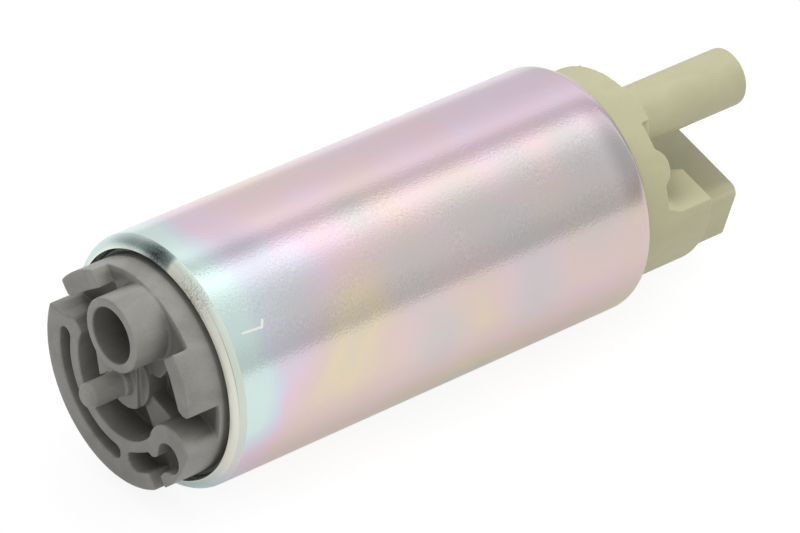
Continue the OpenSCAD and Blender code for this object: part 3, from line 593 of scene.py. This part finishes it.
ROUND_X = (0.25, 4, 4)
ALONG_X = (8, 1, 1)
make_metal("ground_steel", (0.62, 0.63, 0.65), (0.54, 0.55, 0.57), 0.14, 0.1 * MM, ROUND_X)
make_metal("sintered_bronze", (0.50, 0.36, 0.20), (0.36, 0.26, 0.15), 0.45, 0.12 * MM)
make_metal("copper", (0.80, 0.42, 0.24), (0.66, 0.33, 0.19), 0.22, 0.1 * MM, ROUND_X)
make_metal("sheet_steel", (0.52, 0.53, 0.55), (0.44, 0.45, 0.47), 0.28, 0.2 * MM, ALONG_X)
make_metal("spring_steel", (0.58, 0.56, 0.50), (0.46, 0.44, 0.40), 0.26, 0.1 * MM)
make_metal("tinned_brass", (0.70, 0.68, 0.61), (0.60, 0.57, 0.50), 0.26, 0.3 * MM, ALONG_X)
print("finishes so far:", len(Finish.made))

# %% [markdown]
# ## Laminations, wire, ferrite, carbon and rubber
# The stack is pressed from sheets half a millimetre thick. Fifty thin plates could be modelled,
# but a wave along X in the bump draws their edges as well. Ferrite and carbon are pressed
# powders, so they are dark and fine-grained. Rubber is almost even, with a faint bloom.

# %% Other finishes
SHEET = 0.5 * MM


def make_laminations():
    finish = Finish("laminations", Metallic=0.9)
    x = finish.axes()[0]
    wave = (x * (2 * np.pi / SHEET)).sine()
    rust = finish.grain(3 * MM, 4.0)
    finish.colour(finish.mix(rust.above(0.5, 0.75), (0.26, 0.26, 0.28), (0.20, 0.14, 0.10)))
    finish.roughness(0.35 + 0.2 * rust)
    finish.relief(wave * 0.5 + 0.5, 0.02 * MM)


def make_powder(name, colour, pale, rough, size):
    finish = Finish(name)
    grit = finish.grain(size, 3.0)
    finish.colour(finish.mix(grit, colour, pale))
    finish.roughness(rough + 0.15 * grit)
    finish.relief(grit, 0.01 * MM)


def make_copper_wire():
    finish = Finish("copper_wire", Metallic=1.0, Coat_Weight=0.6, Coat_Roughness=0.15)
    bands = finish.grain(0.5 * MM, 2.0, (4, 1, 1))
    finish.colour(finish.mix(bands, (0.55, 0.20, 0.07), (0.72, 0.32, 0.14)))
    finish.roughness(0.25 + 0.15 * bands)
    finish.relief(bands, 0.05 * MM)


make_laminations()
make_copper_wire()
make_powder("insulator", (0.45, 0.12, 0.05), (0.55, 0.17, 0.08), 0.35, 0.4 * MM)
make_powder("ferrite", (0.045, 0.045, 0.050), (0.085, 0.085, 0.09), 0.55, 0.15 * MM)
make_powder("carbon", (0.030, 0.030, 0.031), (0.075, 0.075, 0.078), 0.50, 0.12 * MM)
make_powder("seal_rubber", (0.016, 0.016, 0.017), (0.035, 0.035, 0.036), 0.45, 0.3 * MM)
make_powder("valve_rubber", (0.04, 0.08, 0.06), (0.07, 0.12, 0.09), 0.45, 0.3 * MM)

# %% [markdown]
# ## Finishes on the CAD nodes
# The record already says which finish each node has, so the nodes could be dressed straight from
# it. The table below is written out instead, because one of them looks better in another finish:
# the impeller is as dark as the casing round it.

# %% Dress the nodes
DRESS = {
    "plated_steel": ["can"],
    "grey_moulding": ["inlet_cover"],
    "beige_moulding": ["outlet_cap"],
    "dark_moulding": ["pump_casing", "impeller", "brush_holder"],
    "phenolic": ["commutator_hub"],
    "ground_steel": ["shaft", "thrust_ball", "relief_ball"],
    "sintered_bronze": ["lower_bearing", "upper_bearing"],
    "laminations": ["armature_core"],
    "insulator": ["front_insulator", "rear_insulator"],
    "copper_wire": ["windings"],
    "copper": ["commutator_segments", "brush_lead_a", "brush_lead_b"],
    "ferrite": ["magnet_upper", "magnet_lower"],
    "sheet_steel": ["magnet_clip_a", "magnet_clip_b", "relief_plug"],
    "carbon": ["brush_a", "brush_b"],
    "spring_steel": ["brush_spring_a", "brush_spring_b", "check_spring", "relief_spring"],
    "tinned_brass": ["terminal_a", "terminal_b"],
    "seal_rubber": ["cap_seal"],
    "valve_rubber": ["check_valve"],
    "valve_cage": ["check_retainer"],
}
for slot_name, node_names in DRESS.items():
    for name in node_names:
        for material_slot in frame["nodes"][name].material_slots:
            material_slot.material = Finish.made[slot_name].material
for entry in frame["record"]["materials"]:
    print("finish ready:", entry["slot"], entry["slot"] in Finish.made)
print("nodes dressed:", sum(len(names) for names in DRESS.values()))

# %% [markdown]
# ## Surfaces from whole arrays
# A turned piece is a profile carried round the axis. A Screw modifier could carry it, but then
# the surface can't be uneven round the axis. Here the points are worked out as one array, and
# the faces as another, so nothing is done vertex by vertex. The signed volume tells whether the
# faces point outwards, and if not, every face is turned over at once.

# %% Mesh helpers
def mesh_points(mesh):
    """The places of a mesh's points, one row each."""
    flat = np.empty(3 * len(mesh.vertices), np.float32)
    mesh.vertices.foreach_get("co", flat)
    return flat.reshape(-1, 3).astype(float)


def add_piece(name, points, faces, body, slot, sharp_deg=40):
    """A mesh from an array of points and one of faces, at the origin, riding on a body."""
    mesh = bpy.data.meshes.new(name)
    mesh.from_pydata(points.tolist(), [], faces.tolist())
    mesh.validate()
    mesh.shade_smooth()
    mesh.set_sharp_from_angle(angle=np.radians(sharp_deg))
    piece = bpy.data.objects.new(name, mesh)
    bpy.context.scene.collection.objects.link(piece)
    return settle(piece, body, slot)


def settle(piece, body, slot):
    """Gives a piece its finish, its slot and the body that it rides on."""
    piece.data.materials.clear()
    piece.data.materials.append(Finish.made[slot].material)
    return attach(piece, body)


# %% Turned surfaces
def ring_faces(rows, columns):
    """Quads of a grid that closes on itself both ways, as on a ring."""
    row, column = np.meshgrid(np.arange(rows), np.arange(columns), indexing="ij")
    next_row = (row + 1) % rows
    next_column = (column + 1) % columns
    corners = [row * columns + column, next_row * columns + column,
               next_row * columns + next_column, row * columns + next_column]
    return np.stack(corners, axis=-1).reshape(-1, 4)


def facing_out(points, faces):
    """The faces, turned over if the volume that they enclose comes out negative: the sum over
    the faces of a corner times the cross product of the next two."""
    first, second, third, fourth = (points[faces[:, i]] for i in range(4))
    volume = (first * np.cross(second, third)).sum() + (first * np.cross(third, fourth)).sum()
    return faces if volume > 0 else faces[:, ::-1]


def revolve(profile, columns, wobble):
    """Points of a closed profile of (x, radius) pairs carried round the X axis: y is the radius
    times the cosine of the angle and z the radius times its sine. wobble adds to the radius."""
    angle = np.linspace(0, 2 * np.pi, columns, endpoint=False)
    x = np.repeat(profile[:, :1], columns, axis=1)
    radius = np.repeat(profile[:, 1:], columns, axis=1)
    radius = radius + wobble(x, angle[None, :])
    points = np.stack([x, radius * np.cos(angle), radius * np.sin(angle)], axis=-1)
    points = points.reshape(-1, 3)
    return points, facing_out(points, ring_faces(len(profile), columns))


# %% [markdown]
# ## The can
# The can is a steel tube whose two ends are rolled in over the mouldings. Its section is one
# closed line: up the outer wall, round the roll, across the cut lip and back along the inside.
# Rolling leaves the ends a little uneven, so a slow wave of a few hundredths of a millimetre
# runs round each end and dies out along the wall.

# %% Can
CAN_WALL = 1.4 * MM
CAN_ROLL = 2.0 * MM
LIP_STEP = 1.70 * MM
CAN_COLUMNS = 360
WOBBLE = 0.012 * MM
WOBBLE_REACH = 2.5 * MM
can_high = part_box("can")[1]
can_half = can_high.x
can_r = can_high.z
# How far round the roll goes before the lip is LIP_STEP in from the wall
roll_turn = np.arccos((CAN_ROLL - LIP_STEP) / CAN_ROLL)


def arc(middle, radius, start, stop, steps):
    """Points on a circle, from one angle to another."""
    angle = np.linspace(start, stop, steps)
    return middle + radius * np.stack([np.cos(angle), np.sin(angle)], axis=-1)


def can_profile():
    """Half the section, at the high X end, then its mirror image at the low X end."""
    middle = np.array([can_half - CAN_ROLL, can_r - CAN_ROLL])
    outside = arc(middle, CAN_ROLL, np.pi / 2, np.pi / 2 - roll_turn, 20)
    inside = arc(middle, CAN_ROLL - CAN_WALL, np.pi / 2 - roll_turn, np.pi / 2, 10)
    wall_steps = np.linspace(0, can_half - CAN_ROLL, 30, endpoint=False)
    wall = np.stack([wall_steps, np.full_like(wall_steps, can_r)], axis=-1)
    bore = np.array([[0.0, can_r - CAN_WALL]])
    upper = np.concatenate([wall, outside, inside, bore])
    lower = upper[1:-1][::-1] * np.array([-1, 1])
    return np.concatenate([upper, lower])


def can_wobble(x, angle):
    """A slow wave round the can, strong at the rolled ends and weak along the wall."""
    near_end = np.exp(-(can_half - np.abs(x)) / WOBBLE_REACH)
    wave = np.sin(5 * angle + 40 * x) + 0.6 * np.sin(11 * angle + 1.3) + 0.4 * np.sin(23 * angle)
    return -WOBBLE * near_end * (wave + 2)


can_points, can_faces = revolve(can_profile(), CAN_COLUMNS, can_wobble)
can_shell = add_piece("can_shell", can_points, can_faces, "housing", "plated_steel", 30)
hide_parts("can")
print("can:", len(can_faces), "faces, radius", round(can_r / MM, 2), "mm")

# %% [markdown]
# ## Mouldings with soft edges
# A mould can't hold a knife edge: every corner comes out with a small radius, and that thin
# bright line along an edge is what makes plastic look like plastic. A Bevel modifier trips over
# the many short edges of a moulding, so the whole skin is rebuilt instead: a copy of the packed
# mesh is welded, remeshed on a grid finer than the radius, and smoothed a few times. That rounds
# the outer corners and fills the inner ones, as a mould does. Decimate then thins the flat parts.

# %% Softened copies
WELD = 0.002 * MM


def softened(node, name, slot, cell, rounds, keep):
    """A copy of a CAD node with rounded corners. cell is the size of the remeshing grid, rounds
    the number of smoothing passes and keep the share of the faces that is left."""
    mesh = frame["nodes"][node].data.copy()
    weld = bmesh.new()
    weld.from_mesh(mesh)
    bmesh.ops.remove_doubles(weld, verts=weld.verts, dist=WELD)
    weld.to_mesh(mesh)
    weld.free()
    draft = bpy.data.objects.new(name + "_draft", mesh)
    bpy.context.scene.collection.objects.link(draft)
    remesh = draft.modifiers.new("remesh", "REMESH")
    remesh.mode = "VOXEL"
    remesh.voxel_size = cell
    smooth = draft.modifiers.new("smooth", "SMOOTH")
    smooth.iterations = rounds
    thin = draft.modifiers.new("thin", "DECIMATE")
    thin.ratio = keep
    shaped = draft.evaluated_get(bpy.context.evaluated_depsgraph_get())
    skin = bpy.data.meshes.new_from_object(shaped)
    bpy.data.objects.remove(draft)
    skin.name = name
    skin.shade_smooth()
    piece = bpy.data.objects.new(name, skin)
    bpy.context.scene.collection.objects.link(piece)
    settle(piece, "housing", slot)
    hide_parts(node)
    skin.calc_loop_triangles()
    print(name, len(skin.loop_triangles), "triangles")
    return piece


softened("inlet_cover", "inlet_cover_moulding", "grey_moulding", 0.14 * MM, 5, 0.34)
cap = softened("outlet_cap", "outlet_cap_moulding", "beige_moulding", 0.16 * MM, 7, 0.27)

# %% [markdown]
# ## Room for the brushes
# Each brush slides back into a pocket of the cap that leaves it only a tenth of a millimetre on
# each side, and softening fills that pocket's inner corners. The pocket could be cut again with a
# Boolean, but that leaves slivers on a mesh of this many faces. Moving the few points that stand
# in the brush's way keeps the mesh closed.

# %% Room for the brushes
ROOM_GAP = 0.34 * MM
TRAVEL = {joint["child"]: joint["range_m"][1] for joint in frame["joints"] if "range_m" in joint}


def make_room(piece, brush, travel, gap):
    """Each point of the piece inside the box that the brush sweeps, plus a gap, moves out to the
    nearest side. A place is measured from the brush's middle: back along the pump's axis, out
    from that axis and across the two."""
    corners = mesh_points(frame["nodes"][brush].data)
    middle = (corners.min(axis=0) + corners.max(axis=0)) / 2
    outward = middle * (0, 1, 1) / np.hypot(middle[1], middle[2])
    across = np.array([0, -outward[2], outward[1]])
    axes = np.stack([(1, 0, 0), outward, across])
    half = np.abs((corners - middle) @ axes.T).max(axis=0) + gap
    half[0] += travel
    places = (mesh_points(piece.data) - middle) @ axes.T
    depth = half - np.abs(places)
    depth[:, 0] = half[0] - places[:, 0]
    swept = (depth > 0).all(axis=1)
    nearest = depth.argmin(axis=1)
    for axis in range(3):
        moved = swept & (nearest == axis)
        places[moved, axis] = np.where(places[moved, axis] < 0, -half[axis], half[axis])
    points = (places @ axes + middle).astype(np.float32)
    piece.data.vertices.foreach_set("co", points.ravel())
    piece.data.update()
    print(brush, "pocket:", int(swept.sum()), "points moved")


for brush in ["brush_a", "brush_b"]:
    make_room(cap, brush, TRAVEL[brush], ROOM_GAP)

# %% [markdown]
# ## Springs and brush leads
# A coil spring is a circle carried along a helix. The imported springs have only a few faces round
# the wire, so each is made again with a round wire in the same place. The lead inside a brush
# spring is made again as a rope of fine wires.

# %% Closed tubes
def tube_faces(rows, columns):
    """Quads of a tube that closes round itself, and at each end a flat cap, also of quads. The
    number of columns is even."""
    row, column = np.meshgrid(np.arange(rows - 1), np.arange(columns), indexing="ij")
    beside = (column + 1) % columns
    wall = np.stack([row * columns + column, (row + 1) * columns + column,
                     (row + 1) * columns + beside, row * columns + beside], axis=-1)
    step = 2 * np.arange(columns // 2 - 1)
    cap_start = np.stack([0 * step, step + 1, step + 2, step + 3], axis=-1)
    cap_stop = cap_start[:, ::-1] + (rows - 1) * columns
    return np.concatenate([wall.reshape(-1, 4), cap_start, cap_stop])


def pressed(name, node, points, faces, slot):
    """Adds a piece in place of a node, with a mesh of its own."""
    piece = add_piece(name, points, facing_out(points, faces), "housing", slot)
    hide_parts(node)
    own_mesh(piece)


# %% Springs and leads
COIL_STEPS = 32
WIRE_SIDES = 12
# The wire's thickness and the number of turns of each spring
SPRINGS = {
    "brush_spring_a": (0.45 * MM, 6), "brush_spring_b": (0.45 * MM, 6),
    "check_spring": (0.40 * MM, 5), "relief_spring": (0.36 * MM, 5),
}
LEAD_R = 0.5 * MM
STRANDS = 7
LAY = 4 * MM


def coil(node, mover):
    """A wire wound round the line through the moving piece's middle. At turn angle a the wire's
    middle is the coil's radius away at that angle, further along by an even share, and the wire
    is a circle round it, b, in the plane through the line."""
    wire, turns = SPRINGS[node]
    low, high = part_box(node)
    middle = sum(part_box(mover), Vector()) / 2
    corners = mesh_points(frame["nodes"][node].data)
    outer = np.hypot(corners[:, 1] - middle.y, corners[:, 2] - middle.z).max()
    a = np.linspace(0, 2 * np.pi * turns, COIL_STEPS * turns + 1)[:, None]
    b = np.linspace(0, 2 * np.pi, WIRE_SIDES, endpoint=False)[None, :]
    radius = outer - wire / 2 + wire / 2 * np.cos(b)
    along = low.x + wire / 2 + (high.x - low.x - wire) * a / a.max()
    points = np.stack([along + wire / 2 * np.sin(b), middle.y + radius * np.cos(a),
                       middle.z + radius * np.sin(a)], axis=-1).reshape(-1, 3)
    pressed(node + "_coil", node, points, tube_faces(a.size, b.size), "spring_steel")


def rope(node):
    """A lead of twisted strands. Its radius at angle b is rippled once for each strand, and the
    ripple goes once round in the length of lay."""
    low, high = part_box(node)
    middle = (low + high) / 2
    along = np.linspace(low.x, high.x, 60)[:, None]
    b = np.linspace(0, 2 * np.pi, 6 * STRANDS, endpoint=False)[None, :]
    twist = 2 * np.pi * (along - low.x) / LAY
    radius = LEAD_R * (0.93 + 0.07 * np.cos(STRANDS * (b - twist)))
    points = np.stack([along + 0 * b, middle.y + radius * np.cos(b),
                       middle.z + radius * np.sin(b)], axis=-1).reshape(-1, 3)
    pressed(node + "_rope", node, points, tube_faces(along.size, b.size), "copper")


for joint in frame["joints"]:
    for entry in joint.get("deforming_nodes", []):
        node, travel, fixed = entry["node"], joint["range_m"][1], entry["fixed_end_x_m"]
        if node in SPRINGS:
            coil(node, joint["child"])
        else:
            rope(node)

# %% [markdown]
# ## The floor
# The pump lies on a white sweep in a plain studio. A floor bright enough to look white by light
# alone would also light the pump too much from below. So it partly glows for the camera and for
# the can's reflections, keeps a faint shadow, and throws less light than it shows.

# %% Floor
FLOOR_SIZE = 4.0
# How much of the floor glows of itself, and how much more for the camera and for reflections
GLOW = 0.30
GLOW_SEEN = 0.50
GLOW_MIRRORED = 0.40
# How much of the light that it would throw on the pump is kept back
KEPT_BACK = 0.3
floor_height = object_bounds()[0][2]


def make_floor():
    """A white sheet that is partly lit and partly glows. The can mirrors it brightest away from
    the pump: near the pump it glows less for reflections, a painted shadow added to the real one."""
    mesh = bpy.data.meshes.new("floor")
    half = FLOOR_SIZE / 2
    corners = [(x, y, floor_height) for x, y in [(-half, -half), (half, -half), (half, half),
                                                 (-half, half)]]
    mesh.from_pydata(corners, [], [(0, 1, 2, 3)])
    floor = bpy.data.objects.new("floor", mesh)
    bpy.context.scene.collection.objects.link(floor)
    material = bpy.data.materials.new("floor")
    material.use_nodes = True
    tree = Tree(material.node_tree.nodes, material.node_tree.links)
    tree.nodes.clear()
    matt = tree.add("ShaderNodeBsdfDiffuse", None, {"Color": (0.9, 0.9, 0.9, 1)})
    black = tree.add("ShaderNodeBsdfDiffuse", None, {"Color": (0, 0, 0, 1)})
    glow = tree.add("ShaderNodeEmission", None, {"Color": (1, 1, 1, 1), "Strength": 1.1})
    seen = tree.add("ShaderNodeLightPath", output="Is Camera Ray")
    mirrored = tree.add("ShaderNodeLightPath", output="Is Glossy Ray")
    thrown = tree.add("ShaderNodeLightPath", output="Is Diffuse Ray")
    place = tree.add("ShaderNodeTexCoord", output="Object")
    y = tree.add("ShaderNodeSeparateXYZ", None, {0: place}, 1)
    # Less glow for reflections near the pump: a painted shadow under it, as the can mirrors it
    away = abs(y).above(12 * MM, 34 * MM)
    white = seen * GLOW_SEEN + mirrored * away * GLOW_MIRRORED + GLOW
    both = tree.add("ShaderNodeMixShader", None, {0: white, 1: matt, 2: glow})
    sheet = tree.add("ShaderNodeMixShader", None, {0: thrown * KEPT_BACK, 1: both, 2: black})
    output = tree.nodes.new("ShaderNodeOutputMaterial")
    tree.feed(output.inputs["Surface"], sheet)
    mesh.materials.append(material)
    print("floor at", round(floor_height / MM, 2), "mm")


make_floor()

# %% [markdown]
# ## The light
# The world is one wrap of soft light whose brightness changes with the height it comes from, like
# a tent with a strip light overhead. Area lamps could make it too, but a polished tube mirrors
# every lamp's edge, while it shows this wrap as soft bands along its length, which is where the
# can's look comes from. The room above and behind the near end is darker, which greys the top of
# the rolled lip. The mouldings are matt, and the light that falls on them comes mostly from
# overhead, so that their upper faces are clearly lighter than their sides.

# %% World
# Brightness of the wrap of light by its height: the angle in degrees up from the +Y horizon,
# over the top at 90 and down to the -Y horizon at 180.
STUDIO = [
    (-180, 0.66), (-150, 0.90), (-30, 0.85), (-10, 0.80), (15, 0.85), (35, 0.90), (50, 0.99),
    (60, 1.14), (67, 1.08), (72, 0.78), (79, 0.77), (86, 1.12), (92, 1.52), (103, 1.36),
    (112, 1.08), (122, 0.91), (135, 0.86), (150, 0.84), (165, 0.73), (180, 0.66),
]
# The dark part of the room, above and behind the near end: how dark, and how it fades with the
# cosine of the angle away from its middle
ROOM = Vector((-0.72, 0.40, 0.57)).normalized()
ROOM_DARK = 0.55
ROOM_FADE = (0.35, 0.90)
# What matt pieces lose of the light from the sides, and what they gain back from overhead
SIDE_LOSS = 0.62
OVERHEAD_GAIN = 1.0
OVERHEAD = (0.1, 0.9)


def make_world():
    world = bpy.data.worlds.new("studio")
    bpy.context.scene.world = world
    world.use_nodes = True
    tree = Tree(world.node_tree.nodes, world.node_tree.links)
    tree.nodes.clear()
    direction = tree.add("ShaderNodeTexCoord", output="Generated")
    y = tree.add("ShaderNodeSeparateXYZ", None, {0: direction}, 1)
    z = tree.add("ShaderNodeSeparateXYZ", None, {0: direction}, 2)
    height = z.math("ARCTAN2", z, y) * (0.5 / np.pi) + 0.5
    stops = [((angle + 180) / 360, (level / 2,) * 3) for angle, level in STUDIO]
    light = tree.add("ShaderNodeValToRGB", {"stops": stops}, {0: height})
    toward = tree.add("ShaderNodeVectorMath", {"operation": "DOT_PRODUCT"},
                      {0: direction, 1: tuple(ROOM)}, "Value")
    light = tree.mix(ROOM_DARK * toward.above(*ROOM_FADE), light, BLACK)
    thrown = tree.add("ShaderNodeLightPath", output="Is Diffuse Ray")
    overhead = z.above(*OVERHEAD)
    light = tree.scaled(light, 1 + thrown * (OVERHEAD_GAIN * overhead - SIDE_LOSS))
    seen = tree.add("ShaderNodeLightPath", output="Is Camera Ray")
    shade = tree.mix(seen, light, (0.5, 0.5, 0.5))
    background = tree.add("ShaderNodeBackground", None, {"Color": shade, "Strength": 2.0})
    output = tree.nodes.new("ShaderNodeOutputWorld")
    tree.feed(output.inputs["Surface"], background)
    print("world:", len(STUDIO), "heights")


make_world()
bpy.context.scene.view_settings.view_transform = "Standard"
